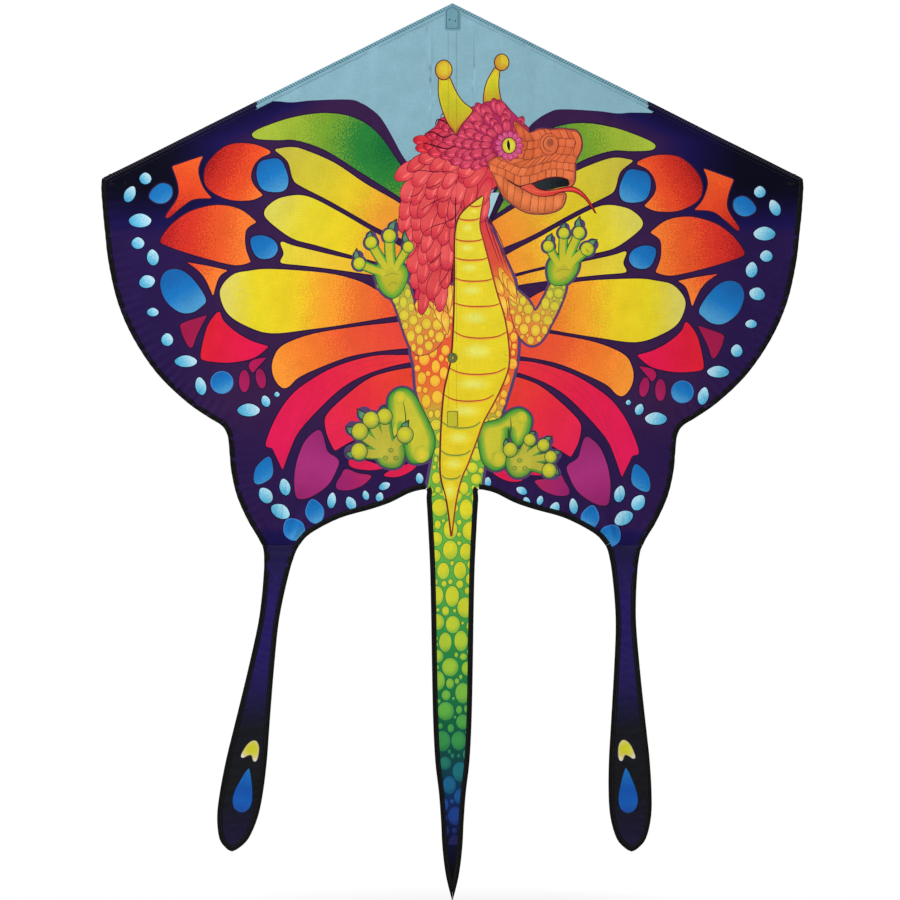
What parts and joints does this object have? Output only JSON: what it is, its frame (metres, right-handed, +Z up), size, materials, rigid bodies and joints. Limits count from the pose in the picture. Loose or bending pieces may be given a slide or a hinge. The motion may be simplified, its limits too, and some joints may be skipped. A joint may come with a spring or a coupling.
{
  "type": "dragon kite",
  "caption": "Printed butterfly-wing dragon kite on a crossed rod frame, with flexing wings, swallow-tail streamers, a long centre tail and a bridle eyelet.",
  "frame": {"origin": "middle of the bridle eyelet's hole, in the plane of the sail", "axes": "+X towards the right wing tip as seen from the printed face, +Z up the spine to the nose, printed face towards -Y, rods behind the sail on +Y"},
  "size_m": [1.334, 0.0134, 1.707],
  "materials": {
    "body_print": "printed ripstop polyester, satin",
    "wing_print": "printed ripstop polyester, satin",
    "scale_print": "printed ripstop polyester, satin",
    "tail_satin": "satin",
    "hem_cloth": "folded and zigzag stitched",
    "pocket_cloth": "woven, stitched",
    "patch_cloth": "woven, stitched",
    "edge_tape": "folded grosgrain tape, stitched",
    "eyelet_plastic": "moulded, semi-gloss",
    "glass_fibre_rod": "pultruded glass fibre, semi-gloss",
    "black_vinyl": "soft vinyl, satin",
    "moulded_nylon": "moulded, matt"
  },
  "bodies": {
    "frame": {"centre_sail": "body_print", "nose_hem": "hem_cloth", "belly_binding": "edge_tape", "nose_patch": "hem_cloth", "nose_pocket": "pocket_cloth", "bottom_patch": "patch_cloth", "bottom_pocket": "pocket_cloth", "bridle_eyelet": "eyelet_plastic", "spine_rod": "glass_fibre_rod", "spine_top_cap": "black_vinyl", "spine_bottom_cap": "black_vinyl", "spine_sleeve": "pocket_cloth", "upper_hub": "moulded_nylon", "lower_hub": "moulded_nylon", "hub_stop_rings": "black_vinyl"},
    "left_wing": {"left_wing_sail": "wing_print", "left_leading_edge_hem": "hem_cloth", "left_edge_binding": "edge_tape", "left_spar_rod": "glass_fibre_rod", "left_spar_tube": "black_vinyl", "left_spar_tip_cap": "black_vinyl", "left_tip_pocket": "edge_tape", "left_bow_rod": "glass_fibre_rod", "left_bow_tube": "black_vinyl", "left_bow_end_cap": "black_vinyl", "left_bow_sleeve": "pocket_cloth", "left_bow_pocket": "edge_tape"},
    "right_wing": {"right_wing_sail": "wing_print", "right_leading_edge_hem": "hem_cloth", "right_edge_binding": "edge_tape", "right_spar_rod": "glass_fibre_rod", "right_spar_tube": "black_vinyl", "right_spar_tip_cap": "black_vinyl", "right_tip_pocket": "edge_tape", "right_bow_rod": "glass_fibre_rod", "right_bow_tube": "black_vinyl", "right_bow_end_cap": "black_vinyl", "right_bow_sleeve": "pocket_cloth", "right_bow_pocket": "edge_tape"},
    "left_tail": {"left_tail": "tail_satin", "left_tail_binding": "edge_tape"},
    "right_tail": {"right_tail": "tail_satin", "right_tail_binding": "edge_tape"},
    "centre_tail": {"centre_tail": "scale_print", "centre_tail_binding": "edge_tape"}
  },
  "joints": [
    {"name": "left_wing_flex", "type": "hinge", "parent": "frame", "child": "left_wing", "pos_m": [-0.05, 0, 0], "axis": [0, 0, -1], "range_deg": [0, 25], "stiffness_Nm_per_rad": 1.5},
    {"name": "right_wing_flex", "type": "hinge", "parent": "frame", "child": "right_wing", "pos_m": [0.05, 0, 0], "axis": [0, 0, 1], "range_deg": [0, 25], "stiffness_Nm_per_rad": 1.5},
    {"name": "left_tail_swing", "type": "hinge", "parent": "left_wing", "child": "left_tail", "pos_m": [-0.326, 0, -0.357], "axis": [1, 0, 0], "range_deg": [-40, 75]},
    {"name": "right_tail_swing", "type": "hinge", "parent": "right_wing", "child": "right_tail", "pos_m": [0.326, 0, -0.357], "axis": [1, 0, 0], "range_deg": [-40, 75]},
    {"name": "centre_tail_swing", "type": "hinge", "parent": "frame", "child": "centre_tail", "pos_m": [0, 0, -0.352], "axis": [1, 0, 0], "range_deg": [-40, 75]}
  ]
}
